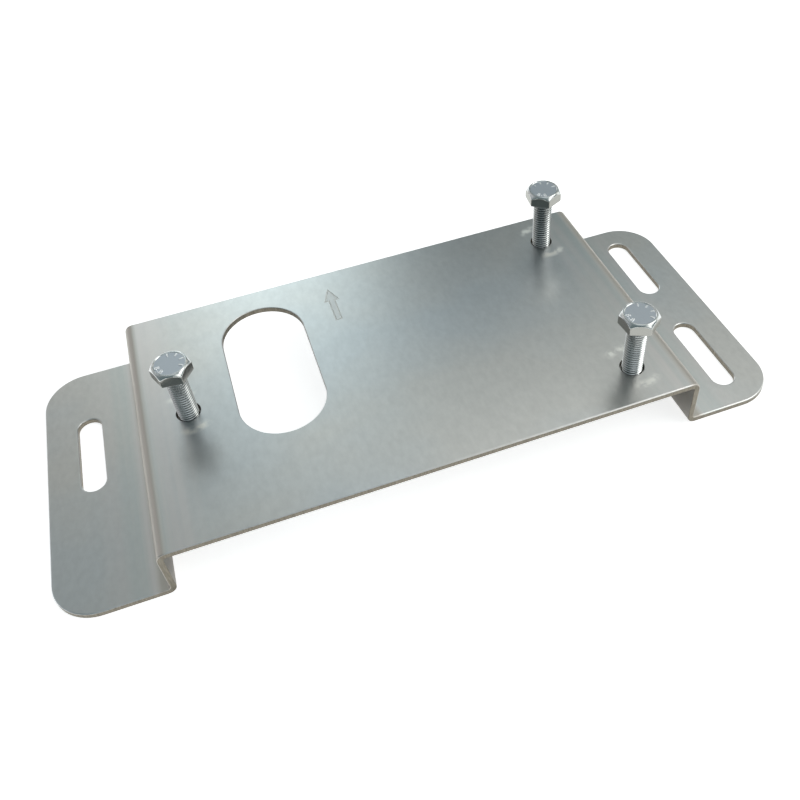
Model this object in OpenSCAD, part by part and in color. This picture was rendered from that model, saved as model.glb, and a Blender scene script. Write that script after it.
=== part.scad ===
// Foundation plate for a floor-standing drive unit.
// One folded steel sheet: a raised platform on two short walls, with a slotted flange at each end.
// Three hexagon bolts stand in nuts that are welded under the platform.
// Millimetres. X runs along the plate, Y to its back edge, Z up.
// The origin is on the floor, under the middle of the platform.

/* [Folded sheet] */
// Overall length over both flanges
overall_length = 360; // [330:1:400]
// Length of the raised platform over its two walls
platform_length = 259; // [240:1:270]
// Width of the sheet from the front edge to the back edge
plate_width = 150; // [140:1:180]
// Height of the platform's top above the floor
platform_height = 29; // [24:0.5:40]
// Thickness of the sheet
sheet_thickness = 3; // [2:0.25:4]
// Inner radius of each fold
fold_radius = 1.5; // [1:0.25:3]
// Radius of the flanges' outer corners
corner_radius = 21; // [5:1:28]

/* [Anchor slots] */
// Width of each anchor slot
slot_width = 12; // [9:0.5:14]
// Length of each anchor slot from end to end
slot_length = 48; // [30:1:56]
// Distance from a flange's outer edge to the middle line of its slots
slot_edge_distance = 22; // [18:0.5:26]
// Distance between the middles of the two right slots
right_slot_spacing = 76; // [66:1:80]
// How far the left slot's middle lies behind the middle of the plate
left_slot_offset = 16.5; // [0:0.5:24]

/* [Cable hole] */
// Width of the cable hole along the plate
cable_hole_width = 43; // [30:1:50]
// Length of the cable hole across the plate
cable_hole_length = 90; // [60:1:96]
// Distance of the cable hole's middle from the middle of the plate, to the left
cable_hole_left = 60; // [56:1:64]
// How far the cable hole's middle lies behind the middle of the plate
cable_hole_back = 15.3; // [0:0.1:18]

/* [Bolt places] */
// Distance between the left bolt and the line of the right pair, along the plate
bolt_span = 209; // [200:1:216]
// Distance of each right bolt from the edge beside it, front or back
right_bolt_edge_distance = 22; // [18:0.5:34]
// How far the left bolt lies behind the middle of the plate
left_bolt_offset = 0.8; // [0:0.1:15]
// Diameter of each bolt's clearance hole in the sheet
bolt_hole_diameter = 12; // [11:0.5:13]

/* [Bolts] */
// Outer diameter of the bolt thread
bolt_diameter = 10; // [8:1:10]
// Length of a bolt under its head
bolt_length = 40; // [38:1:50]
// Width of a bolt head across its flats
head_flats = 17; // [16:0.5:17]
// Height of a bolt head
head_height = 6.4; // [5.5:0.1:7]
// Diameter of the flat disc on top of a head
head_disc_diameter = 15.6; // [13:0.1:15.8]
// Slope of the cone between the disc and the six corners of a head
head_cone_angle = 50; // [15:1:50]
// Length of the pointing chamfer at a bolt's tip
tip_chamfer = 1; // [0.5:0.1:1.5]
// Height of the left head's underside above the platform
left_bolt_stand = 27.5; // [20:0.1:31]
// Height of the back right head's underside above the platform
back_bolt_stand = 29.5; // [20:0.1:31]
// Height of the front right head's underside above the platform
front_bolt_stand = 28.9; // [20:0.1:31]
// Angle of a corner of the left head, from the plate's length
left_head_angle = 54; // [0:1:60]
// Angle of a corner of the back right head
back_head_angle = 25; // [0:1:60]
// Angle of a corner of the front right head
front_head_angle = 35; // [0:1:60]

/* [Welded nuts] */
// Width of a nut across its flats
nut_flats = 17; // [16:0.5:17]
// Height of a nut
nut_height = 8; // [7:0.1:9]
// Radial running clearance between a bolt and its nut
thread_clearance = 0.05; // [0.02:0.01:0.09]
// Leg length of each weld bead at the nut's side
weld_leg = 3; // [2:0.25:4]
// Angle that each weld bead spans round its nut
weld_span = 64; // [40:1:80]
// Direction of the first weld bead, seen from above
weld_turn = 135; // [0:1:180]

/* [Stamped arrow] */
// Distance of the arrow from the middle of the plate, to the left
arrow_left = 19.8; // [16:0.1:30]
// How far the arrow's tip lies behind the middle of the plate
arrow_tip_back = 61.3; // [50:0.1:68]
// Length of the arrow from tip to foot
arrow_length = 26.2; // [20:0.1:30]
// Length of the arrow's head
arrow_head_length = 10.4; // [8:0.1:12]
// Width of the arrow's head
arrow_head_width = 8.6; // [7:0.1:12]
// Width of the arrow's shaft
arrow_shaft_width = 3.9; // [3:0.1:5]
// Width of the stamped line
arrow_line = 0.8; // [0.5:0.1:1]
// Depth of the stamped line
arrow_depth = 0.25; // [0.1:0.05:0.5]

/* [Hidden] */
$fn = 64;

half_length = overall_length / 2;
half_platform = platform_length / 2;
half_width = plate_width / 2;
outer_fold_radius = fold_radius + sheet_thickness;
platform_underside = platform_height - sheet_thickness;
slot_x = half_length - slot_edge_distance;
left_bolt_place = [-bolt_span / 2, left_bolt_offset];
back_bolt_place = [bolt_span / 2, half_width - right_bolt_edge_distance];
front_bolt_place = [bolt_span / 2, right_bolt_edge_distance - half_width];
// Every cutting shape runs past the sheet's faces by this much
cut_past = 1;

// A quarter of a bent strip, seen end-on, in the quadrant that the two signs name
module fold_arc(x_sign, z_sign) {
    intersection() {
        difference() {
            circle(r = outer_fold_radius);
            circle(r = fold_radius);
        }
        translate([x_sign > 0 ? 0 : -outer_fold_radius, z_sign > 0 ? 0 : -outer_fold_radius])
            square(outer_fold_radius);
    }
}

// One end of the sheet's section: half the platform, the upper fold, the wall, the lower fold, the flange
module half_section() {
    wall_foot = sheet_thickness + fold_radius;
    wall_top = platform_height - outer_fold_radius;
    translate([0, platform_underside])
        square([half_platform - outer_fold_radius, sheet_thickness]);
    translate([half_platform - outer_fold_radius, wall_top])
        fold_arc(1, 1);
    translate([half_platform - sheet_thickness, wall_foot])
        square([sheet_thickness, wall_top - wall_foot]);
    translate([half_platform + fold_radius, wall_foot])
        fold_arc(-1, -1);
    translate([half_platform + fold_radius, 0])
        square([half_length - half_platform - fold_radius, sheet_thickness]);
}

// The whole section, carried from the front edge to the back edge
module folded_strip() {
    translate([0, half_width, 0])
        rotate([90, 0, 0])
            linear_extrude(plate_width)
                union() {
                    half_section();
                    mirror([1, 0])
                        half_section();
                }
}

// The sheet's outline seen from above, with the four outer corners rounded
module sheet_outline() {
    square([overall_length - 2 * corner_radius, plate_width], center = true);
    square([overall_length, plate_width - 2 * corner_radius], center = true);
    for (x = [-1, 1], y = [-1, 1])
        translate([x * (half_length - corner_radius), y * (half_width - corner_radius)])
            circle(r = corner_radius);
}

// A straight-sided opening with round ends, cut from z_low to z_high, long side along Y
module round_ended_cut(width, length, z_low, z_high) {
    translate([0, 0, z_low])
        linear_extrude(z_high - z_low)
            union() {
                square([width, length - width], center = true);
                for (end = [-1, 1])
                    translate([0, end * (length - width) / 2])
                        circle(d = width);
            }
}

// An arrow pointing to the back edge, drawn smaller on every side by inset
module arrow_shape(inset) {
    // The inset moves slanted edges square to themselves, so the tip drops by more than the inset
    slant = atan2(arrow_head_width / 2, arrow_head_length);
    tip = -inset / sin(slant);
    barb_y = -arrow_head_length + inset;
    barb_x = (tip - barb_y) * tan(slant);
    shaft_x = arrow_shaft_width / 2 - inset;
    foot_y = -arrow_length + inset;
    polygon([[0, tip], [barb_x, barb_y], [shaft_x, barb_y], [shaft_x, foot_y],
             [-shaft_x, foot_y], [-shaft_x, barb_y], [-barb_x, barb_y]]);
}

// The stamped outline of the arrow as a shallow groove in the platform's top
module arrow_groove() {
    translate([-arrow_left, arrow_tip_back, platform_height - arrow_depth])
        linear_extrude(arrow_depth + cut_past)
            difference() {
                arrow_shape(0);
                arrow_shape(arrow_line);
            }
}

// The folded sheet with its slots, cable hole, bolt holes and stamped arrow
module folded_plate() {
    color([0.62, 0.65, 0.66])
        difference() {
            intersection() {
                folded_strip();
                translate([0, 0, -cut_past])
                    linear_extrude(platform_height + 2 * cut_past)
                        sheet_outline();
            }
            for (y = [-1, 1])
                translate([slot_x, y * right_slot_spacing / 2, 0])
                    round_ended_cut(slot_width, slot_length, -cut_past, sheet_thickness + cut_past);
            translate([-slot_x, left_slot_offset, 0])
                round_ended_cut(slot_width, slot_length, -cut_past, sheet_thickness + cut_past);
            translate([-cable_hole_left, cable_hole_back, 0])
                round_ended_cut(cable_hole_width, cable_hole_length,
                                platform_underside - cut_past, platform_height + cut_past);
            for (place = [left_bolt_place, back_bolt_place, front_bolt_place])
                translate([place.x, place.y, platform_underside - cut_past])
                    cylinder(d = bolt_hole_diameter, h = sheet_thickness + 2 * cut_past);
            arrow_groove();
        }
}

// A hexagonal prism across its flats, standing on z = 0
module hexagon(flats, height) {
    cylinder(d = flats / cos(30), h = height, $fn = 6);
}

// A bolt with its head's underside at z = 0 and its shank below
module hex_bolt() {
    corner_radius_of_head = head_flats / cos(30) / 2;
    disc_radius = head_disc_diameter / 2;
    // The cone is carried a little past the corners, where the prism cuts it off
    cone_reach = corner_radius_of_head + cut_past;
    cone_drop = (cone_reach - disc_radius) * tan(head_cone_angle);
    shank_radius = bolt_diameter / 2;
    color([0.66, 0.68, 0.70])
        union() {
            intersection() {
                hexagon(head_flats, head_height);
                rotate_extrude()
                    polygon([[0, 0], [cone_reach, 0], [cone_reach, head_height - cone_drop],
                             [disc_radius, head_height], [0, head_height]]);
            }
            rotate_extrude()
                polygon([[0, 0], [shank_radius, 0], [shank_radius, tip_chamfer - bolt_length],
                         [shank_radius - tip_chamfer, -bolt_length], [0, -bolt_length]]);
        }
}

// A bolt set in its place at its own height and angle
module placed_bolt(place, stand, angle) {
    translate([place.x, place.y, platform_height + stand])
        rotate([0, 0, angle])
            hex_bolt();
}

// A hexagon nut hanging under z = 0, with a weld bead on each of two opposite sides
module weld_nut() {
    corner_reach = nut_flats / cos(30) / 2;
    flat_reach = nut_flats / 2;
    // Both faces are chamfered down to the flats' own circle
    face_drop = (corner_reach - flat_reach) * tan(30);
    bore_radius = bolt_diameter / 2 + thread_clearance;
    // A bead starts inside the nut, so that it is one with it
    bead_root = flat_reach - weld_leg / 2;
    color([0.55, 0.56, 0.55])
        difference() {
            union() {
                translate([0, 0, -nut_height])
                    intersection() {
                        hexagon(nut_flats, nut_height);
                        rotate_extrude()
                            polygon([[0, 0], [flat_reach, 0], [corner_reach, face_drop],
                                     [corner_reach, nut_height - face_drop],
                                     [flat_reach, nut_height], [0, nut_height]]);
                    }
                for (side = [0, 180])
                    rotate([0, 0, side - weld_span / 2])
                        rotate_extrude(angle = weld_span)
                            polygon([[bead_root, 0], [bead_root, -weld_leg],
                                     [corner_reach, -weld_leg], [corner_reach + weld_leg, 0]]);
            }
            translate([0, 0, -nut_height - cut_past])
                cylinder(r = bore_radius, h = nut_height + 2 * cut_past);
        }
}

// A nut under the platform, on the axis of its bolt hole
module placed_nut(place) {
    translate([place.x, place.y, platform_underside])
        rotate([0, 0, weld_turn])
            weld_nut();
}

module left_bolt() {
    placed_bolt(left_bolt_place, left_bolt_stand, left_head_angle);
}

module back_right_bolt() {
    placed_bolt(back_bolt_place, back_bolt_stand, back_head_angle);
}

module front_right_bolt() {
    placed_bolt(front_bolt_place, front_bolt_stand, front_head_angle);
}

module left_weld_nut() {
    placed_nut(left_bolt_place);
}

module back_right_weld_nut() {
    placed_nut(back_bolt_place);
}

module front_right_weld_nut() {
    placed_nut(front_bolt_place);
}

folded_plate();
left_bolt();
back_right_bolt();
front_right_bolt();
left_weld_nut();
back_right_weld_nut();
front_right_weld_nut();
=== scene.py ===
import bmesh
import bpy
import numpy as np
from mathutils import Matrix
from mathutils.geometry import delaunay_2d_cdt


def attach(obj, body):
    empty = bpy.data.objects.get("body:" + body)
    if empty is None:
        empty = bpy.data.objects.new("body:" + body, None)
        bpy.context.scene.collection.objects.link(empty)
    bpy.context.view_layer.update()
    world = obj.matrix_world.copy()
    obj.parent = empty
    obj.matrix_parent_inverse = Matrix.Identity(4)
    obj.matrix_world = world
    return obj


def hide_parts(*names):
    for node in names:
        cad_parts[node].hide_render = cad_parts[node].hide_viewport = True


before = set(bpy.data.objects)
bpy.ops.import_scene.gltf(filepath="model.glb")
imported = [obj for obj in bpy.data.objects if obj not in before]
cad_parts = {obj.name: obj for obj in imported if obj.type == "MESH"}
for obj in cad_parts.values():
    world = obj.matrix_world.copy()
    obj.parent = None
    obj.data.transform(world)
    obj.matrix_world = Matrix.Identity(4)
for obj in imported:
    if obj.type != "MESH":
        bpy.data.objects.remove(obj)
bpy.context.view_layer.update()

# The folded plate: one zinc-plated 3 mm steel sheet, a platform on two short walls with a
# slotted flange at each end. It is cut flat, punched, stamped with an arrow and folded four
# times.
half_length, half_width, corner = 0.180, 0.075, 0.021
half_platform, top_z, sheet = 0.1295, 0.029, 0.003
inner_fold, outer_fold = 0.0015, 0.0045
# How far the shear draws down each upper edge (the outline and slots, the cable hole, the
# bolt holes) and every lower edge
top_rim, hole_rim, sharp_rim, under_rim = 0.0007, 0.0004, 0.0002, 0.0002

# Where the folds lie, measured along the sheet from the middle of the platform
middle_fold = (inner_fold + outer_fold) / 2
fold_run = np.pi / 2 * middle_fold
first_fold = half_platform - outer_fold
wall_start = first_fold + fold_run
second_fold = wall_start + top_z - 2 * outer_fold
flange_start = second_fold + fold_run
half_run = flange_start + half_length - half_platform - inner_fold


def fold_turns(far):
    """How far the sheet has turned down in the first fold, and out again in the second, at a
    distance from the middle: a quarter turn each, spread evenly over the fold's run."""
    down = np.clip((far - first_fold) / fold_run, 0, 1) * np.pi / 2
    out = np.clip((far - second_fold) / fold_run, 0, 1) * np.pi / 2
    return down, out


def folded(flat):
    """Places of points on the folded sheet. flat holds (run, across, height over the sheet's
    middle). The run goes along the platform, turns down round the first fold's arc, goes down
    the wall and turns back out round the second fold's arc. The height goes along the sheet's
    own normal."""
    run, across, height = flat[:, 0], flat[:, 1], flat[:, 2]
    side, far = np.sign(run), np.abs(run)
    down, out = fold_turns(far)
    x = np.minimum(far, first_fold) + np.maximum(far - flange_start, 0)
    x += middle_fold * (np.sin(down) + 1 - np.cos(out)) + height * np.sin(down - out)
    z = top_z - sheet / 2 - np.clip(far - wall_start, 0, second_fold - wall_start)
    z += height * np.cos(down - out) - middle_fold * (1 - np.cos(down) + np.sin(out))
    return np.column_stack([side * x, across, z])


def folded_normals(flat, normals):
    """Directions turned with the sheet: the run direction tilts by the first fold's turn less
    the second's, and the sheet's own normal tilts with it."""
    side, far = np.sign(flat[:, 0]), np.abs(flat[:, 0])
    down, out = fold_turns(far)
    tilt, none = down - out, 0 * far
    along = np.column_stack([np.cos(tilt), none, -side * np.sin(tilt)])
    upward = np.column_stack([side * np.sin(tilt), none, np.cos(tilt)])
    across = np.column_stack([none, none + 1, none])
    return normals[:, :1] * along + normals[:, 1:2] * across + normals[:, 2:] * upward


def arc_loop(centres, radius, steps, start):
    """A closed outline round the arc centres, which share a full turn between them.
    Point = centre + radius x (cos a, sin a), with a going up evenly from the start angle."""
    arc = 2 * np.pi / len(centres)
    spans = np.arange(len(centres))[:, None] * arc
    angles = (start + spans + np.linspace(0, arc, steps)[None, :]).ravel()
    outward = np.column_stack([np.cos(angles), np.sin(angles)])
    return np.repeat(np.array(centres, float), steps, axis=0) + radius * outward, outward


def wrap_quads(rows, columns):
    """Corner numbers of the quads of a grid that closes on itself along its rows."""
    here = np.arange(rows)[:, None]
    there = (here + 1) % rows
    column = np.arange(columns - 1)[None, :]
    quads = [here * columns + column, there * columns + column,
             there * columns + column + 1, here * columns + column + 1]
    return np.stack(quads, axis=-1).reshape(-1, 4)


def build_mesh(name, points, groups, finishes):
    """A mesh object from points and groups of (corner numbers, corner normals, finish number).
    Each face keeps its corners' own normals, so that flat faces stay flat beside round rims."""
    corners = np.concatenate([group[0].ravel() for group in groups])
    sizes = np.concatenate([np.full(len(group[0]), group[0].shape[1]) for group in groups])
    numbers = np.concatenate([np.full(len(group[0]), group[2]) for group in groups])
    starts = np.concatenate([[0], np.cumsum(sizes)[:-1]])
    mesh = bpy.data.meshes.new(name)
    mesh.vertices.add(len(points))
    mesh.vertices.foreach_set("co", np.asarray(points, np.float32).ravel())
    mesh.loops.add(len(corners))
    mesh.loops.foreach_set("vertex_index", corners.astype(np.int32))
    mesh.polygons.add(len(sizes))
    mesh.polygons.foreach_set("loop_start", starts.astype(np.int32))
    mesh.polygons.foreach_set("material_index", numbers.astype(np.int32))
    mesh.polygons.foreach_set("use_smooth", np.ones(len(sizes), bool))
    mesh.update(calc_edges=True)
    mesh.validate()
    if groups[0][1] is not None:
        normals = np.concatenate([group[1].reshape(-1, 3) for group in groups])
        mesh.normals_split_custom_set(normals.tolist())
    for finish in finishes:
        mesh.materials.append(finish)
    made = bpy.data.objects.new(name, mesh)
    bpy.context.scene.collection.objects.link(made)
    return made


def rim_profile(upper_rim, steps=5):
    """The cut edge from the top face to the underside, as (out from the edge line, height) and
    normals: a quarter round, a straight cut and a smaller quarter round."""
    turn = np.linspace(np.pi / 2, 0, steps)
    out, drop = np.cos(turn) - 1, 1 - np.sin(turn)
    above = np.column_stack([upper_rim * out, sheet / 2 - upper_rim * drop])
    below = np.column_stack([under_rim * out, -sheet / 2 + under_rim * drop])[::-1]
    facing = np.column_stack([np.cos(turn), np.sin(turn)])
    return np.vstack([above, below]), np.vstack([facing, (facing * [1, -1])[::-1]])


def inside(points, outline):
    """True where a point lies inside the closed outline: a ray along +X crosses it an odd
    number of times."""
    a, b = outline[None, :, :], np.roll(outline, -1, axis=0)[None, :, :]
    x, y = points[:, None, 0], points[:, None, 1]
    spans = (a[..., 1] > y) != (b[..., 1] > y)
    rise = np.where(a[..., 1] == b[..., 1], 1, b[..., 1] - a[..., 1])
    crossing = a[..., 0] + (y - a[..., 1]) / rise * (b[..., 0] - a[..., 0])
    return (np.sum(spans & (x < crossing), axis=1) % 2) == 1


# The outline: four corner arcs, and long edges with a point at every step of the four folds
fold_points, corner_points = 9, 17
fold_steps = np.concatenate([np.linspace(first_fold, wall_start, fold_points),
                             np.linspace(second_fold, flange_start, fold_points)])
stations = np.concatenate([-fold_steps[::-1], fold_steps])
corner_x, corner_y = half_run - corner, half_width - corner
arcs, arcs_out = arc_loop([(corner_x, -corner_y), (corner_x, corner_y), (-corner_x, corner_y),
                           (-corner_x, -corner_y)], corner, corner_points, -np.pi / 2)
front = np.column_stack([stations, np.full(len(stations), -half_width)])
back = np.column_stack([stations[::-1], np.full(len(stations), half_width)])
front_out, back_out = np.tile([0, -1], (len(front), 1)), np.tile([0, 1], (len(back), 1))
right_end = 2 * corner_points
outline = np.vstack([front, arcs[:right_end], back, arcs[right_end:]])
outline_out = np.vstack([front_out, arcs_out[:right_end], back_out, arcs_out[right_end:]])

# The openings, flat: middle, radius, half the straight part, points on an arc, rim
slot_run = 0.158 + half_run - half_length
slot = (0.006, 0.018, 25, top_rim)
cable_spot, cable_hole = (-0.060, 0.0153), (0.0215, 0.0235, 41, hole_rim)
bolt_hole = (0.006, 0, 41, sharp_rim)
bolt_spots = {"left_bolt": (-0.1045, 0.0008), "back_right_bolt": (0.1045, 0.053),
              "front_right_bolt": (0.1045, -0.053)}
openings = [((-slot_run, 0.0165), slot), ((slot_run, 0.038), slot), ((slot_run, -0.038), slot),
            (cable_spot, cable_hole)] + [(spot, bolt_hole) for spot in bolt_spots.values()]
edges = [(outline, outline_out, top_rim)]
for (x, y), (radius, straight, steps, rim) in openings:
    if straight:
        hole, hole_out = arc_loop([(x, y + straight), (x, y - straight)], radius, steps, 0)
    else:
        hole, hole_out = arc_loop([(x, y)], radius, steps, 0)
        # A full circle ends where it starts, so its last point goes
        hole, hole_out = hole[:-1], hole_out[:-1]
    # A hole is gone round the other way, and the sheet lies outside it
    edges.append((hole[::-1], -hole_out[::-1], rim))

# The stamped arrow: an outline groove whose depth goes down and up again across the line
arrow_at, arrow_length, arrow_head = (-0.0198, 0.0613), 0.0262, (0.0043, 0.0104)
arrow_shaft, arrow_line, arrow_depth = 0.00195, 0.0008, 0.00025
arrow_corners, groove_columns = 7, 9


def arrow_ring(inset):
    """The arrow's seven corners, with every side moved in by the inset."""
    slant = np.arctan2(arrow_head[0], arrow_head[1])
    tip, barb = -inset / np.sin(slant), inset - arrow_head[1]
    wide, shaft, foot = (tip - barb) * np.tan(slant), arrow_shaft - inset, inset - arrow_length
    ring = [(0, tip), (-wide, barb), (-shaft, barb), (-shaft, foot),
            (shaft, foot), (shaft, barb), (wide, barb)]
    return np.array(ring) + arrow_at


groove_steps = np.linspace(0, 1, groove_columns)
groove_rings = np.stack([arrow_ring(arrow_line * part) for part in groove_steps], axis=1)
groove_height = sheet / 2 - arrow_depth * np.sin(np.pi * groove_steps) ** 2
groove_slope = arrow_depth / arrow_line * np.pi * np.sin(2 * np.pi * groove_steps)

# All points of the flat sheet: a rim round every edge, then the arrow's groove. The upper
# round is drawn down with the plated face, and the rest is the cut
plated, cut, pressed = 0, 1, 2
plated_steps = 3
flat_points, groups, first_rows, last_rows, count = [], [], [], [], 0
for loop, loop_out, rim in edges:
    profile, profile_normals = rim_profile(rim)
    shape = (len(loop), len(profile), 1)
    spots = np.concatenate([loop[:, None, :] + profile[None, :, :1] * loop_out[:, None, :],
                            np.broadcast_to(profile[None, :, 1:], shape)], axis=2)
    facing = np.concatenate([profile_normals[None, :, :1] * loop_out[:, None, :],
                             np.broadcast_to(profile_normals[None, :, 1:], shape)], axis=2)
    quads = wrap_quads(len(loop), len(profile))[:, ::-1]
    flat_points.append(spots.reshape(-1, 3))
    drawn_down = np.tile(np.arange(len(profile) - 1) < plated_steps, len(loop))
    for part, finish_number in ((drawn_down, plated), (~drawn_down, cut)):
        part_facing = facing.reshape(-1, 3)[quads[part]]
        groups.append((quads[part] + count, part_facing, finish_number))
    first_rows.append(count + np.arange(len(loop)) * len(profile))
    last_rows.append(first_rows[-1] + len(profile) - 1)
    count += len(loop) * len(profile)
groove_heights = np.broadcast_to(groove_height[None, :, None], groove_rings.shape[:2] + (1,))
flat_points.append(np.concatenate([groove_rings, groove_heights], axis=2).reshape(-1, 3))
sides = np.roll(groove_rings[:, 0], -1, axis=0) - groove_rings[:, 0]
sides /= np.linalg.norm(sides, axis=1)[:, None]
inward = np.column_stack([-sides[:, 1], sides[:, 0]])
# The normal of a groove side leans along its slope: (slope x inward direction, 1), made unit
lean = np.concatenate([groove_slope[None, :, None] * inward[:, None, :],
                       np.ones((arrow_corners, groove_columns, 1))], axis=2)
lean /= np.linalg.norm(lean, axis=2)[:, :, None]
leaning = np.stack([lean[:, :-1], lean[:, :-1], lean[:, 1:], lean[:, 1:]], axis=2)
groups.append((wrap_quads(arrow_corners, groove_columns) + count, leaning.reshape(-1, 4, 3),
               pressed))
groove_outer = count + np.arange(arrow_corners) * groove_columns
groove_inner = groove_outer + groove_columns - 1
flat_points = np.vstack(flat_points)


def fill_face(rows, groove, upward):
    """Triangles of one flat face: a constrained triangulation between the rims' first or last
    points, with a line across the sheet at every fold step. The groove's two rings are kept
    clear, and a triangle that goes round the wrong way is turned over."""
    loops = rows + groove
    used = np.concatenate(loops)
    starts = np.cumsum([0] + [len(loop) for loop in loops])
    ends = [(np.arange(len(loop)) + 1) % len(loop) for loop in loops]
    rounds = [np.column_stack([start + np.arange(len(end)), start + end])
              for start, end in zip(starts, ends)]
    station = np.arange(len(stations))
    across = np.column_stack([station, 2 * len(stations) + right_end - 1 - station])
    lines = [tuple(line) for line in np.vstack(rounds + [across]).tolist()]
    flat = flat_points[used][:, :2]
    every_triangle, same_point = 0, 1e-9
    made = delaunay_2d_cdt(flat.tolist(), lines, [], every_triangle, same_point)
    triangles = np.array(made[3])[:, 0][np.array(made[2])]
    middles = flat[triangles].mean(axis=1)
    keep = inside(middles, flat[starts[0]:starts[1]])
    for k in range(1, len(rows)):
        keep &= ~inside(middles, flat[starts[k]:starts[k + 1]])
    if groove:
        outer, inner = flat[starts[-3]:starts[-2]], flat[starts[-2]:starts[-1]]
        keep &= ~(inside(middles, outer) & ~inside(middles, inner))
    triangles = triangles[keep]
    a, b, c = flat[triangles[:, 0]], flat[triangles[:, 1]], flat[triangles[:, 2]]
    turned = (b[:, 0] - a[:, 0]) * (c[:, 1] - a[:, 1]) - (b[:, 1] - a[:, 1]) * (c[:, 0] - a[:, 0])
    wrong = (turned < 0) if upward else (turned > 0)
    triangles[wrong] = triangles[wrong][:, ::-1]
    normal = np.array([0, 0, 1.0 if upward else -1.0])
    return used[triangles], np.broadcast_to(normal, (len(triangles), 3, 3)), plated


groups.append(fill_face(first_rows, [groove_outer, groove_inner], True))
groups.append(fill_face(last_rows, [], False))
folded_groups = []
for corners, facing, finish_number in groups:
    turned = folded_normals(flat_points[corners.ravel()], facing.reshape(-1, 3))
    folded_groups.append((corners, turned.reshape(facing.shape), finish_number))


def finish_tree(name):
    """A new node material: its tree, its main shader, and its object coordinates."""
    finish = bpy.data.materials.new(name)
    finish.use_nodes = True
    tree = finish.node_tree
    shader = tree.nodes["Principled BSDF"]
    place = tree.nodes.new("ShaderNodeTexCoord").outputs["Object"]
    return finish, tree, shader, place


def step(tree, kind, links=(), **values):
    """One node with its values set and its inputs linked. A link is (input name or number,
    output or value)."""
    made = tree.nodes.new(kind)
    for key, value in values.items():
        setattr(made, key, value)
    for key, source in links:
        if isinstance(source, bpy.types.NodeSocket):
            tree.links.new(source, made.inputs[key])
        else:
            made.inputs[key].default_value = source
    return made


def sums(tree, operation, *inputs):
    """The output of one sum on numbers."""
    return step(tree, "ShaderNodeMath", enumerate(inputs), operation=operation).outputs[0]


def vector_sums(tree, operation, *inputs):
    """The output of one sum on vectors. A length and a dot product are numbers."""
    made = step(tree, "ShaderNodeVectorMath", enumerate(inputs), operation=operation)
    return made.outputs["Value" if operation in ("LENGTH", "DOT_PRODUCT") else "Vector"]


def apart(tree, vector):
    """The three numbers of a vector."""
    return step(tree, "ShaderNodeSeparateXYZ", [(0, vector)]).outputs


def between(tree, source, none_at, full_at):
    """0 to 1, straight, as the source goes from one value to the other."""
    links = [("Value", source), ("From Min", none_at), ("From Max", full_at)]
    return step(tree, "ShaderNodeMapRange", links).outputs[0]


def blend(tree, share, first, second, way="MIX"):
    """Two colours blended by a share from 0 to 1."""
    links = [(0, share), (6, first), (7, second)]
    return step(tree, "ShaderNodeMix", links, data_type="RGBA", blend_type=way).outputs[2]


def blend_numbers(tree, share, first, second):
    """Two numbers blended by a share from 0 to 1."""
    return step(tree, "ShaderNodeMix", [(0, share), (2, first), (3, second)]).outputs[0]


def grain(tree, place, stretch, scale, detail=4.0):
    """Noise on stretched coordinates: long across the small factors and fine across the large
    ones."""
    mapped = step(tree, "ShaderNodeMapping", [("Vector", place), ("Scale", stretch)]).outputs[0]
    links = [("Vector", mapped), ("Scale", scale), ("Detail", detail)]
    return step(tree, "ShaderNodeTexNoise", links).outputs["Fac"]


def ramp(tree, source, low, high, stops=(0.3, 0.7)):
    """A colour or grey that goes from low to high as the source passes the two stops."""
    made = step(tree, "ShaderNodeValToRGB", [("Fac", source)])
    for element, stop, colour in zip(made.color_ramp.elements, stops, (low, high)):
        element.position, element.color = stop, (*colour, 1)
    return made.outputs["Color"]


# The plated face: clouds, cold and warm patches and fine flecks, with streaks and bands along
# the folds, where the rollers and the folding tool rubbed the plating
plated_sheet, tree, shader, place = finish_tree("plated_sheet")
sheet_dark, sheet_pale = (0.63, 0.643, 0.648), (0.68, 0.688, 0.692)
cold_patch, warm_patch, patch_share = (0.635, 0.670, 0.692), (0.705, 0.683, 0.650), 0.6
cold_band, warm_band, band_share = (0.60, 0.645, 0.635), (0.735, 0.69, 0.685), 0.6
streak_tone, streak_share, fold_tone = (0.80, 0.76, 0.74, 1), 0.5, (0.54, 0.51, 0.47, 1)
heat_tone = (0.93, 0.92, 0.88, 1)
flat_dull, flat_bright, arrow_dull, fold_dull, heat_dull = 0.296, 0.279, 0.36, 0.46, 0.42
cloud = grain(tree, place, (1, 1, 1), 18, 5)
rolled = grain(tree, place, (1, 0.02, 1), 170, 4)
along, across, _ = apart(tree, place)
# How near a fold is, from the distance to the wall: 1 on the bent part, 0 on the flats
bent_reach, fold_reach = (0.0062, 0.0035), (0.028, 0.006)
from_wall = sums(tree, "SUBTRACT", sums(tree, "ABSOLUTE", along), half_platform)
from_wall = sums(tree, "ABSOLUTE", from_wall)
bent = between(tree, from_wall, *bent_reach)
near_fold = between(tree, from_wall, *fold_reach)
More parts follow.
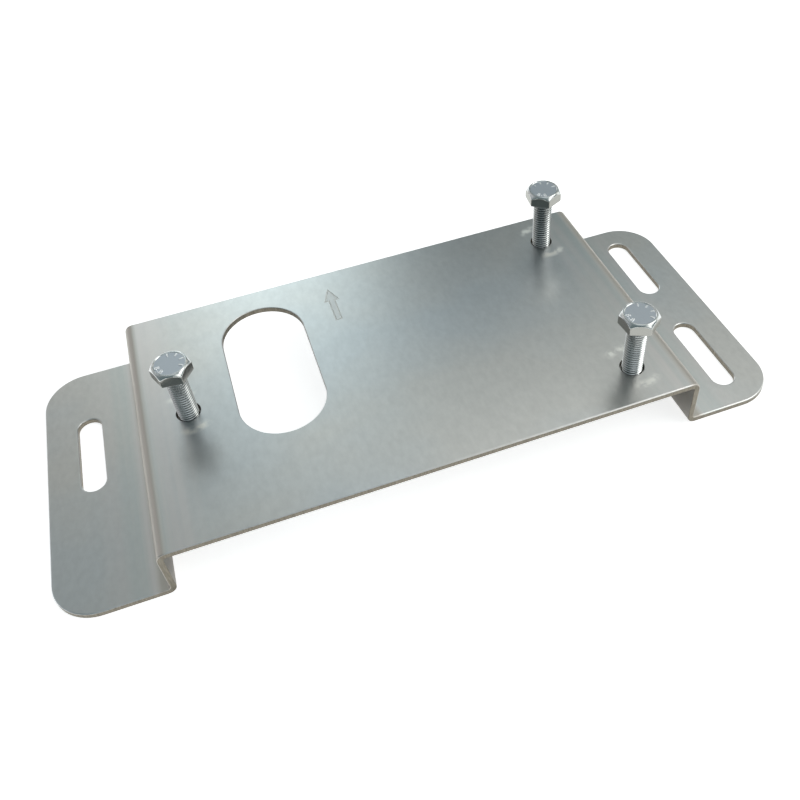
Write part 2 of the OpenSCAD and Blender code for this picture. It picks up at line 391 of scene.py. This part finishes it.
# Pale heat marks of the welding, in two arcs beside each bolt, broken up by fine blotches
heat_toward, heat_radius, heat = (-0.17, 0.985, 0), 0.0125, 0.0
heat_spread, heat_width = (0.80, 0.95), (0.003, 0.0008)
for x, y in bolt_spots.values():
    from_bolt = vector_sums(tree, "SUBTRACT", place, (x, y, top_z))
    toward = vector_sums(tree, "NORMALIZE", from_bolt)
    facing = vector_sums(tree, "DOT_PRODUCT", toward, heat_toward)
    spread = between(tree, sums(tree, "ABSOLUTE", facing), *heat_spread)
    from_arc = sums(tree, "SUBTRACT", vector_sums(tree, "LENGTH", from_bolt), heat_radius)
    arc = between(tree, sums(tree, "ABSOLUTE", from_arc), *heat_width)
    heat = sums(tree, "MAXIMUM", heat, sums(tree, "MULTIPLY", arc, spread))
blotches = between(tree, grain(tree, place, (1, 1, 1), 240, 3), 0.36, 0.56)
heat = sums(tree, "MULTIPLY", heat, blotches)
tone = ramp(tree, cloud, sheet_dark, sheet_pale)
patches = grain(tree, place, (1, 1.6, 1), 7, 3)
tone = blend(tree, patch_share, tone, ramp(tree, patches, cold_patch, warm_patch, (0.40, 0.60)))
flecks = ramp(tree, grain(tree, place, (1, 0.6, 1), 360, 5), (0.94,) * 3, (1.03,) * 3)
tone = blend(tree, 1.0, tone, flecks, "MULTIPLY")
bands = ramp(tree, grain(tree, place, (1, 0.03, 1), 75, 2), cold_band, warm_band, (0.42, 0.58))
tone = blend(tree, sums(tree, "MULTIPLY", near_fold, band_share), tone, bands)
streaks = sums(tree, "MULTIPLY", between(tree, rolled, 0.40, 0.62), near_fold)
tone = blend(tree, sums(tree, "MULTIPLY", streaks, streak_share), tone, streak_tone)
tone = blend(tree, heat, blend(tree, bent, tone, fold_tone), heat_tone)
tree.links.new(tone, shader.inputs["Base Color"])
# Inside the stamped arrow the sheet is duller: a triangle for the head, a bar for the shaft
beside = sums(tree, "ABSOLUTE", sums(tree, "ADD", along, -arrow_at[0]))
below_tip = sums(tree, "SUBTRACT", arrow_at[1], across)
head_width = sums(tree, "MULTIPLY", below_tip, arrow_head[0] / arrow_head[1])
over_barbs = sums(tree, "LESS_THAN", below_tip, arrow_head[1])
over_foot = sums(tree, "LESS_THAN", below_tip, arrow_length)
allowed = blend_numbers(tree, over_barbs, arrow_shaft, head_width)
in_arrow = sums(tree, "MULTIPLY", sums(tree, "LESS_THAN", beside, allowed), over_foot)
rough = ramp(tree, cloud, (flat_dull,) * 3, (flat_bright,) * 3)
for share, dull in ((in_arrow, arrow_dull), (bent, fold_dull), (heat, heat_dull)):
    rough = blend_numbers(tree, share, rough, dull)
tree.links.new(rough, shader.inputs["Roughness"])
shader.inputs["Metallic"].default_value = 1.0

# The cut: brown-grey, with the fine upright lines of the shear
cut_edge, tree, shader, place = finish_tree("cut_edge")
shear = grain(tree, place, (1, 1, 0.15), 1400, 3)
sheared = ramp(tree, shear, (0.165, 0.148, 0.117), (0.28, 0.255, 0.207))
tree.links.new(sheared, shader.inputs["Base Color"])
shader.inputs["Metallic"].default_value = 1.0
shader.inputs["Roughness"].default_value = 0.42
bump = step(tree, "ShaderNodeBump", [("Height", shear), ("Strength", 0.3), ("Distance", 0.0002)])
tree.links.new(bump.outputs["Normal"], shader.inputs["Normal"])

# The stamped line: the press left it duller and paler than the sheet round it
pressed_line, tree, shader, place = finish_tree("pressed_line")
scuff = grain(tree, place, (1, 1, 1), 900, 3)
scuffed = ramp(tree, scuff, (0.60, 0.62, 0.60), (0.72, 0.74, 0.72))
tree.links.new(scuffed, shader.inputs["Base Color"])
shader.inputs["Metallic"].default_value = 0.15
shader.inputs["Roughness"].default_value = 0.55

finishes = [plated_sheet, cut_edge, pressed_line]
plate = build_mesh("plate_sheet", folded(flat_points), folded_groups, finishes)
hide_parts("folded_plate")
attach(plate, "plate")

# The bolts: three M10 hexagon bolts, forged heads on rolled threads, bright zinc-plated.
# Each is screwed into a nut under the platform and stands at its own height and turn.
bolt_radius, bolt_length, tip_chamfer = 0.005, 0.040, 0.001
# The tooth's height is slope x distance from the valley's middle - drop, flat at both ends
pitch, thread_depth, tooth_slope, tooth_drop = 0.0015, 0.00092, 1.35, 0.12
neck_start, neck_blend, neck_groove, into_head = 0.0022, 0.0012, 0.00035, 0.0002
head_flats, head_height, disc_radius = 0.017, 0.0064, 0.0078
cone_slope = np.tan(np.radians(50))
# Height over the platform in metres, turn in degrees
bolt_stands = {"left_bolt": (0.0275, -6), "back_right_bolt": (0.0295, 25),
               "front_right_bolt": (0.0289, -25)}
# The marks on a head: their height, their ring, the disc's raised lip, and what stands where
mark_height, mark_ring, lip_start, lip_width = 0.00025, 0.0057, 0.0071, 0.0003
marks = ((195, "eight"), (212, "dot"), (229, "eight"),
         (-24, "bar"), (17, "bar"), (57, "bar"), (98, "bar"))
eight_loop, eight_stroke, dot_drop, dot_radius = 0.00052, 0.00026, 0.0006, 0.0003
bar_half_length, bar_stroke, mark_slope = 0.0007, 0.0004, 0.00012


def raised_marks(radius, angle):
    """How far each disc point is raised, from 0 to 1: the plain strength number 8.8 on one
    side, four short bars on the other, and the lip round them. Each mark has its own flat
    coordinates, along the ring and outward, and a stroke is the band of points closer to its
    line than half the stroke's width."""
    raised = np.clip((radius - lip_start) / lip_width, 0, 1)
    outward = radius - mark_ring
    for place, kind in marks:
        along = mark_ring * ((angle - np.radians(place) + np.pi) % (2 * np.pi) - np.pi)
        if kind == "eight":
            loops = [np.abs(np.hypot(along, outward - shift) - eight_loop)
                     for shift in (-eight_loop, eight_loop)]
            distance = np.minimum(*loops) - eight_stroke
        elif kind == "dot":
            distance = np.hypot(along, outward - dot_drop) - dot_radius
        else:
            past_end = np.maximum(np.abs(outward) - bar_half_length, 0)
            distance = np.hypot(along, past_end) - bar_stroke
        raised = np.maximum(raised, np.clip(0.5 - distance / mark_slope, 0, 1))
    return raised


def hexagon_reach(angle, flats, sharpness=60):
    """The radius of a hexagon at an angle: half the flats over the cosine of the angle to the
    nearest flat, with soft corners from a high power sum."""
    flats_at = np.arange(6) * np.pi / 3 + np.pi / 6
    reach = np.clip(np.cos(angle[:, None] - flats_at[None, :]), 0, 1)
    return flats / 2 / np.sum(reach ** sharpness, axis=1) ** (1 / sharpness)


def around(angle, radius, height):
    """Points round the axis: x = radius x cos a, y = radius x sin a, z = height."""
    return np.stack([radius * np.cos(angle), radius * np.sin(angle), height], axis=2)


def turned_profile(angle, rows):
    """A profile carried round the axis as (angle, profile step) points. A row is the radius
    and the height of one profile step, each a number or one value for every angle."""
    radius, height = (np.stack([np.broadcast_to(row[part], angle.shape) for row in rows], axis=1)
                      for part in (0, 1))
    return around(angle[:, None], radius, height)


def head_surface(turns=288, lip_round=0.00025, lip_inset=0.00015, edge_round=0.0002):
    """The head, from the middle of its disc to the middle of its underside. The cone drops
    from the disc's rim to the corners with the set slope overall, gently at first:
    drop = whole drop x (0.55 part + 0.45 part squared)."""
    angle = np.arange(turns) * 2 * np.pi / turns
    hexagon = hexagon_reach(angle, head_flats)
    rim_drop = (hexagon - disc_radius) * cone_slope
    # The disc, with its steps close together where the marks and the lip are
    disc_steps = np.concatenate([[0, 0.0015, 0.003], np.linspace(0.0042, 0.0070, 25),
                                 np.linspace(lip_start, 0.0075, 5)])
    rows = [(radius, head_height - mark_height * (1 - raised_marks(radius, angle)))
            for radius in disc_steps]
    # The lip's outer round, and the cone
    rows += [(disc_radius - lip_inset + lip_round * np.sin(lean),
              head_height - lip_round * (1 - np.cos(lean))) for lean in np.radians([8, 25, 42])]
    rows += [(disc_radius + part * (hexagon - disc_radius),
              head_height - (0.55 * part + 0.45 * part ** 2) * rim_drop)
             for part in (0.2, 0.4, 0.6, 0.8, 0.95)]
    # The round between cone and flats, the flats, and the round below them
    rows += [(hexagon - edge_round * (1 - np.sin(lean)),
              head_height - rim_drop - edge_round * (1 - np.cos(lean)))
             for lean in np.radians([50, 70, 90])]
    rows += [(hexagon, 0.0011), (hexagon, 0.0003)]
    rows += [(hexagon - edge_round * (1 - np.cos(lean)), edge_round * (1 - np.sin(lean)))
             for lean in np.radians([0, 45, 90])]
    # The underside, with its inner ring just inside the shank
    rows += [(bolt_radius - 0.0001, 0), (0, 0)]
    return turned_profile(angle, rows)


def thread_surface(turns=64, per_pitch=12):
    """The rolled thread as (angle, row) points. A row climbs one pitch in a turn, so it runs
    along the helix: height = row / rows per pitch x pitch + angle share x pitch, held between
    tip and head. The radius is the crest's, less a rounded tooth depth by the row's share of a
    pitch. The tip runs out into a short cone, and a plain neck joins the head."""
    angle = (np.arange(turns + 1) * 2 * np.pi / turns)[:, None]
    rows = np.arange(int(bolt_length / pitch * per_pitch) + 2 * per_pitch + 1)
    share = (rows / per_pitch) % 1.0
    tooth = np.clip(tooth_slope * np.abs(2 * share - 1) - tooth_drop, 0, 1)
    height = -bolt_length - pitch + (rows[None, :] / per_pitch + angle / (2 * np.pi)) * pitch
    radius = bolt_radius - thread_depth * (1 - tooth)[None, :] + 0 * height
    cone = bolt_radius - np.clip(tip_chamfer - (height + bolt_length), 0, None)
    radius = np.minimum(radius, np.maximum(cone, bolt_radius - tip_chamfer))
    neck = np.clip((height + neck_start) / neck_blend, 0, 1)
    radius = radius * (1 - neck) + (bolt_radius - neck_groove) * neck
    return around(angle, radius, np.clip(height, -bolt_length, into_head))


def sheet_quads(rows, columns):
    """Corner numbers of the quads of an open grid."""
    at = np.arange(rows * columns).reshape(rows, columns)
    return np.stack([at[:-1, :-1], at[1:, :-1], at[1:, 1:], at[:-1, 1:]], axis=-1).reshape(-1, 4)


def placed(points, turn, spot):
    """Points turned about the upright axis through an angle, then moved to their spot."""
    c, s = np.cos(turn), np.sin(turn)
    return points @ np.array([[c, s, 0], [-s, c, 0], [0, 0, 1]]) + spot


def weld_up(made, crease, distance=1e-6):
    """Joins points that fall together, drops faces without area, turns all faces outwards, and
    keeps edges that bend more than the crease sharp."""
    work = bmesh.new()
    work.from_mesh(made.data)
    bmesh.ops.remove_doubles(work, verts=work.verts, dist=distance)
    bmesh.ops.dissolve_degenerate(work, edges=work.edges, dist=distance)
    bmesh.ops.recalc_face_normals(work, faces=work.faces)
    work.to_mesh(made.data)
    work.free()
    made.modifiers.new("corners", "EDGE_SPLIT").split_angle = np.radians(crease)


# Bright zinc. The mesh says where it changes: the thread valleys get painted shade that deepens
# towards the roots, the forged flats of the head are painted darker as painted shade, the stamped
# top is duller, and the raised marks are painted pale as a painted highlight
bright_zinc, tree, shader, place = finish_tree("bright_zinc")
mottle = grain(tree, place, (1, 1, 1), 260, 4)
tone = ramp(tree, mottle, (0.62, 0.64, 0.64), (0.72, 0.735, 0.73))
rough = ramp(tree, mottle, (0.23,) * 3, (0.17,) * 3)
# Painted light in these tones: shade in the thread valleys and on the head's flats, a highlight
# on the marks
zinc_parts = (("root", (0.08, 0.09, 0.09, 1), None), ("side", (0.36, 0.36, 0.335, 1), None),
              ("disc", (0.52, 0.56, 0.61, 1), 0.46), ("mark", (0.95, 0.96, 0.97, 1), 0.4))
for part, part_tone, dull in zinc_parts:
    share = step(tree, "ShaderNodeAttribute", attribute_name=part).outputs["Fac"]
    tone = blend(tree, share, tone, part_tone)
    rough = rough if dull is None else blend_numbers(tree, share, rough, dull)
tree.links.new(tone, shader.inputs["Base Color"])
tree.links.new(rough, shader.inputs["Roughness"])
shader.inputs["Metallic"].default_value = 1.0

head, thread = head_surface(), thread_surface()
head_count, thread_count = head.shape[0] * head.shape[1], thread.shape[0] * thread.shape[1]
head_quads = wrap_quads(*head.shape[:2])
thread_quads = sheet_quads(*thread.shape[:2]) + head_count
# Where the finish changes, as one share from 0 to 1 for each point of a bolt
disc_edge, side_margin, cone_margin, root_shade_power = 0.00702, 0.0003, 0.0001, 0.8
from_axis = np.hypot(head[..., 0], head[..., 1]).ravel()
round_axis, head_z = np.arctan2(head[..., 1], head[..., 0]).ravel(), head[..., 2].ravel()
depth = bolt_radius - np.hypot(thread[..., 0], thread[..., 1]).ravel()
on_disc = (head_z > head_height - mark_height - 1e-6) & (from_axis < disc_edge)
cone_z = head_height - (from_axis - disc_radius) * cone_slope
# The head's flats, which the finish paints darker as painted shade
side_painted_shade = (from_axis > head_flats / 2 - side_margin) & (head_z < cone_z - cone_margin)
# The raised marks, which the finish paints pale as a painted highlight
mark_highlight = raised_marks(from_axis, round_axis) * on_disc
# Painted shade: the thread is darker the deeper a point lies in a valley
root_shade = np.clip(depth / thread_depth, 0, 1) ** root_shade_power
bolt_shares = {
    "root": np.concatenate([np.zeros(head_count), root_shade]),
    "side": np.concatenate([side_painted_shade, np.zeros(thread_count)]),
    "disc": np.concatenate([on_disc, np.zeros(thread_count)]),
    "mark": np.concatenate([mark_highlight, np.zeros(thread_count)])}
for bolt_name, (stand, turn) in bolt_stands.items():
    points = np.vstack([head.reshape(-1, 3), thread.reshape(-1, 3)])
    points = placed(points, np.radians(turn), [*bolt_spots[bolt_name], top_z + stand])
    groups = [(head_quads, None, 0), (thread_quads, None, 0)]
    bolt = build_mesh(bolt_name + "_steel", points, groups, [bright_zinc])
    for part, share in bolt_shares.items():
        values = bolt.data.attributes.new(part, "FLOAT", "POINT").data
        values.foreach_set("value", share.astype(np.float32))
    weld_up(bolt, 35)
    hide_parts(bolt_name)
    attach(bolt, bolt_name)

# The welded nuts: plain M10 nuts of dull zinc-plated steel, pressed against the platform's
# underside on the bolts' axes. Two short fillet beads hold each one, on opposite sides.
nut_flats, nut_height, nut_bore, nut_turn = 0.017, 0.008, 0.00505, np.radians(135)
mouth_width, mouth_depth, nut_rim, nut_edge = 0.0007, 0.0004, 0.0003, 0.0001
nut_chamfer = np.tan(np.radians(30))
bead_leg, bead_half_span, bead_places = 0.003, np.radians(32), (0.0, np.pi)
bead_sink, bead_swell, bead_middle, bead_back, bead_end = 0.0004, 0.0004, 0.011, 0.0015, 0.0088
ripple_height, ripple_pitch, ripple_bend = 0.00013, 0.0011, 2.4
# The bulge stands out at 45 degrees, so about this share of it goes outward and downward
bulge_share = 0.7


def nut_surface(turns=144):
    """The nut under z = 0: over the top face, down the chamfered flats, over the lower face,
    round the countersunk mouth and up the bore."""
    angle = np.arange(turns) * 2 * np.pi / turns
    hexagon = hexagon_reach(angle, nut_flats)
    face = nut_flats / 2 - nut_rim
    fall = (hexagon - face) * nut_chamfer
    return turned_profile(angle, [
        (nut_bore, 0), (face, 0), (hexagon - nut_edge, -fall), (hexagon, -fall - nut_edge),
        (hexagon, fall - nut_height + nut_edge), (hexagon - nut_edge, fall - nut_height),
        (face, -nut_height), (nut_bore + mouth_width, -nut_height),
        (nut_bore, -nut_height + mouth_depth), (nut_bore, 0)])


def bead_surface(middle, steps=121, parts=15):
    """One weld bead as (along, section) points. Its face runs from the nut down to the sheet
    and bulges by a half sine. Ripples follow the arc, bent back like the pool that froze. The
    section shrinks to a point at both ends by the square root of 1 - along to the sixth."""
    along = np.linspace(-1, 1, steps)[:, None]
    part = np.linspace(0, 1, parts)[None, :]
    root = nut_flats / 2 / np.cos(np.radians(30)) - bead_sink
    swell = np.sin(np.pi * part)
    ripples = 2 * np.pi * along * bead_half_span * bead_middle / ripple_pitch
    bulge = bead_swell * swell + ripple_height * np.cos(ripples - ripple_bend * swell) * swell
    radius = root + part * (bead_leg + bead_sink) + bulge_share * bulge
    height = -bead_leg * (1 - part) - bulge_share * bulge
    # The hidden back of the section lies inside the nut
    back = nut_flats / 2 - bead_back
    radius = np.hstack([radius, np.broadcast_to([back, back, root], (steps, 3))])
    height = np.hstack([height, np.broadcast_to([0, bead_sink - bead_leg, -bead_leg],
                                                (steps, 3))])
    size = np.sqrt(np.clip(1 - along ** 6, 0, 1))
    radius, height = bead_end + (radius - bead_end) * size, np.minimum(height * size, 0)
    return around(middle + bead_half_span * along, radius, height)


nut_finish, tree, shader, place = finish_tree("dull_zinc")
soot = grain(tree, place, (1, 1, 1), 320, 5)
sooty = ramp(tree, soot, (0.38, 0.38, 0.37), (0.56, 0.57, 0.56))
tree.links.new(sooty, shader.inputs["Base Color"])
tree.links.new(ramp(tree, soot, (0.44,) * 3, (0.34,) * 3), shader.inputs["Roughness"])
shader.inputs["Metallic"].default_value = 1.0

weld_finish, tree, shader, place = finish_tree("weld_metal")
scale = grain(tree, place, (1, 1, 1), 520, 5)
scaled = ramp(tree, scale, (0.20, 0.17, 0.14), (0.46, 0.45, 0.43))
tree.links.new(scaled, shader.inputs["Base Color"])
tree.links.new(ramp(tree, scale, (0.55,) * 3, (0.33,) * 3), shader.inputs["Roughness"])
shader.inputs["Metallic"].default_value = 1.0

nut_parts = [nut_surface()] + [bead_surface(middle) for middle in bead_places]
nut_groups = [(wrap_quads(*nut_parts[0].shape[:2]), None, 0)]
count = nut_parts[0].shape[0] * nut_parts[0].shape[1]
for bead in nut_parts[1:]:
    # A bead's section closes on itself, so its grid wraps along the section
    at = np.arange(bead.shape[0] * bead.shape[1]).reshape(bead.shape[:2]) + count
    ahead = np.roll(at, -1, axis=1)
    quads = np.stack([at[:-1], at[1:], ahead[1:], ahead[:-1]], axis=-1).reshape(-1, 4)
    nut_groups.append((quads, None, 1))
    count += at.size
for bolt_name, spot in bolt_spots.items():
    nut_name = bolt_name.replace("bolt", "weld_nut")
    points = np.vstack([part.reshape(-1, 3) for part in nut_parts])
    points = placed(points, nut_turn, [*spot, top_z - sheet])
    nut = build_mesh(nut_name + "_steel", points, nut_groups, [nut_finish, weld_finish])
    weld_up(nut, 40)
    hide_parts(nut_name)
    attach(nut, "plate")

# The floor: a plain pale sheet under the plate. The camera sees it white with the plate's
# shadow on it, and so does the metal, but for the part that lies under the platform: there the
# glow is left out for glossy rays, which is a painted shadow, and it comes back under the cable
# hole as a painted pool of light.
floor_mesh = bpy.data.meshes.new("floor")
floor_mesh.from_pydata([(-6, -6, 0), (6, -6, 0), (6, 6, 0), (-6, 6, 0)], [], [(0, 1, 2, 3)])
floor = bpy.data.objects.new("floor", floor_mesh)
bpy.context.scene.collection.objects.link(floor)
floor_finish, tree, shader, place = finish_tree("pale_floor")
shader.inputs["Base Color"].default_value = (0.8, 0.8, 0.8, 1)
shader.inputs["Roughness"].default_value = 0.9
floor_glow = 0.72
# Where the painted shadow fades out: past the platform, and in a painted pool of light under the
# hole
shade_x, shade_y, hole_light_x, hole_light_y = (0.118, 0.132), (0.065, 0.085), (0.026, 0.018), (0.050, 0.040)
x_out, y_out, _ = apart(tree, vector_sums(tree, "ABSOLUTE", place))
outside = sums(tree, "MAXIMUM", between(tree, x_out, *shade_x), between(tree, y_out, *shade_y))
from_hole = vector_sums(tree, "SUBTRACT", place, (*cable_spot, 0))
x_in, y_in, _ = apart(tree, vector_sums(tree, "ABSOLUTE", from_hole))
through = sums(tree, "MULTIPLY", between(tree, x_in, *hole_light_x), between(tree, y_in, *hole_light_y))
path = step(tree, "ShaderNodeLightPath").outputs
# Glossy rays see the glow only outside the painted shadow or in the painted pool of light under
# the hole
mirrored = sums(tree, "MULTIPLY", path["Is Glossy Ray"], sums(tree, "MAXIMUM", outside, through))
seen = sums(tree, "MAXIMUM", path["Is Camera Ray"], path["Is Transmission Ray"])
seen = sums(tree, "MAXIMUM", seen, mirrored)
glow = step(tree, "ShaderNodeEmission", [("Color", (1, 1, 1, 1)), ("Strength", floor_glow)])
both = step(tree, "ShaderNodeAddShader", [(0, shader.outputs[0]), (1, glow.outputs[0])])
links = [(0, seen), (1, shader.outputs[0]), (2, both.outputs[0])]
choice = step(tree, "ShaderNodeMixShader", links)
tree.links.new(choice.outputs[0], tree.nodes["Material Output"].inputs["Surface"])
floor_mesh.materials.append(floor_finish)

# The room: a dim even light with large soft patches, which the metal mirrors, and one soft
# square lamp at the right in front. The camera itself sees the room white.
world = bpy.data.worlds.new("room")
bpy.context.scene.world = world
world.use_nodes = True
tree = world.node_tree
direction = step(tree, "ShaderNodeTexCoord").outputs["Generated"]
room_dim = (0.155, 0.20, 0.205)
# A patch: azimuth from the back towards the right, elevation and spread in degrees, colour
room_patches = [
    (-18, 30, 17, (0.32, 0.28, 0.25)), (4, 36.5, 5.5, (2.06, 2.40, 2.43)),
    (13, 37, 4.5, (-1.10, -1.20, -1.14)), (43, 64, 12, (1.15, 1.13, 1.08)),
    (92, 43, 8, (0.85, 0.84, 0.80)), (86, 56, 8, (1.30, 1.27, 1.20)),
    (151, 28, 10, (2.1, 2.06, 1.97)), (53, 26, 7, (0.85, 0.76, 0.69)),
    (-42, 16, 9, (0.50, 0.44, 0.45)), (88, 11, 9, (1.50, 1.46, 1.38)),
    (-8, 9, 10, (1.10, 1.10, 1.14)), (-70, 32, 15, (0.42, 0.385, 0.40)),
    (190, 73, 14, (0.60, 0.62, 0.65))]
light = room_dim
for azimuth, elevation, spread, colour in room_patches:
    # A patch fades as e to the power (cosine of the angle to its middle - 1) / spread squared
    a, e, k = np.radians(azimuth), np.radians(elevation), 1 / np.radians(spread) ** 2
    toward = (np.sin(a) * np.cos(e), np.cos(a) * np.cos(e), np.sin(e))
    facing = vector_sums(tree, "DOT_PRODUCT", direction, toward)
    fade = sums(tree, "EXPONENT", sums(tree, "MULTIPLY_ADD", facing, k, -k))
    patch = step(tree, "ShaderNodeVectorMath", [(0, colour), ("Scale", fade)], operation="SCALE")
    light = vector_sums(tree, "ADD", light, patch.outputs["Vector"])
by_camera = step(tree, "ShaderNodeLightPath").outputs["Is Camera Ray"]
background = tree.nodes["Background"]
tree.links.new(blend(tree, by_camera, light, (1, 1, 1, 1)), background.inputs["Color"])
background.inputs["Strength"].default_value = 1.0

lamp_place = np.array([1.15, -0.55, 1.15])
lamp_data = bpy.data.lights.new("side_lamp", "AREA")
lamp_data.shape, lamp_data.size, lamp_data.energy = "SQUARE", 0.9, 6
lamp_data.color = (1.0, 0.99, 0.97)
lamp = bpy.data.objects.new("side_lamp", lamp_data)
# It is aimed at the middle of the plate
away = lamp_place / np.linalg.norm(lamp_place)
right = np.cross([0, 0, 1], away)
right /= np.linalg.norm(right)
axes = np.column_stack([right, np.cross(away, right), away, lamp_place])
lamp.matrix_world = Matrix(np.vstack([axes, [0, 0, 0, 1]]).tolist())
bpy.context.scene.collection.objects.link(lamp)

# The camera stands where the photograph was taken from, in front of the left part of the
# plate and above it.
camera_data = bpy.data.cameras.new("camera")
camera_data.sensor_width, camera_data.lens = 36, 38.3513
camera_data.shift_x, camera_data.shift_y = -0.03924, -0.06522
camera_data.clip_start = 0.01
camera = bpy.data.objects.new("camera", camera_data)
camera.rotation_euler = np.radians([44.64785, 3.38809, -19.27220])
camera.location = (-0.0646949, -0.2957319, 0.3353798)
bpy.context.scene.collection.objects.link(camera)
bpy.context.scene.camera = camera
bpy.context.scene.view_settings.view_transform = "Standard"
